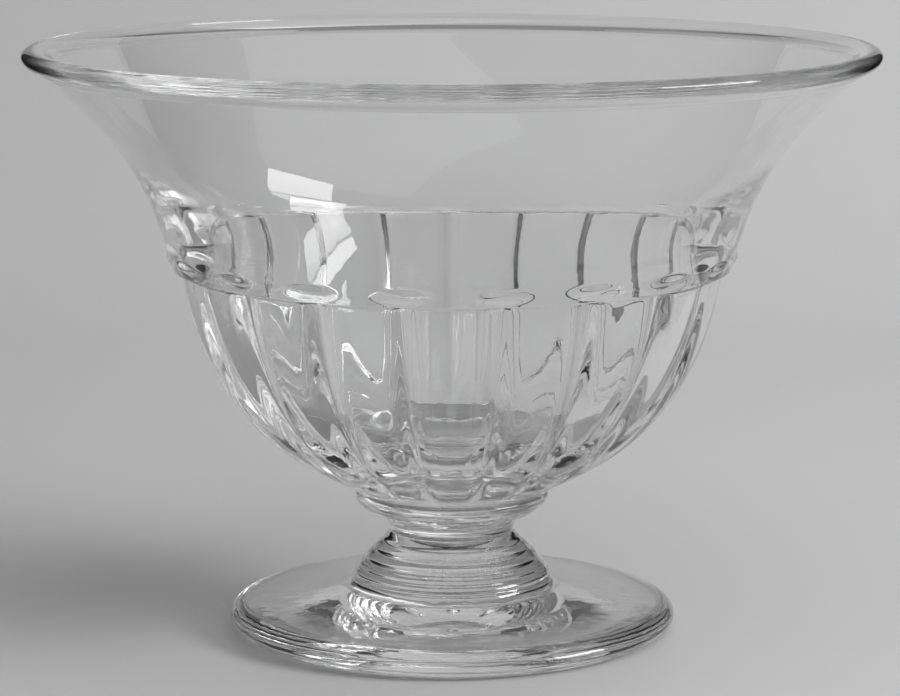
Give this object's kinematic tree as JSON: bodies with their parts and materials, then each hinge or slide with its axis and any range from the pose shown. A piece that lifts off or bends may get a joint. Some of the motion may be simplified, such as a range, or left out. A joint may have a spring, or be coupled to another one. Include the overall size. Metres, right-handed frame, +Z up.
{
  "type": "footed bowl",
  "caption": "Clear glass centrepiece bowl with a flared rim, a grooved cup below a ledge, and a collared bell stem on a round foot.",
  "frame": {"origin": "centre of the foot's resting ring, on the surface it stands on", "axes": "+Z up along the bowl's axis; the picture is seen from -Y, with a panel between two grooves facing -Y"},
  "size_m": [0.254, 0.254, 0.1765],
  "materials": {
    "clear_glass": "polished"
  },
  "bodies": {
    "root": {"foot": "clear_glass", "bell": "clear_glass", "neck": "clear_glass", "merese": "clear_glass", "bowl": "clear_glass"}
  },
  "joints": []
}
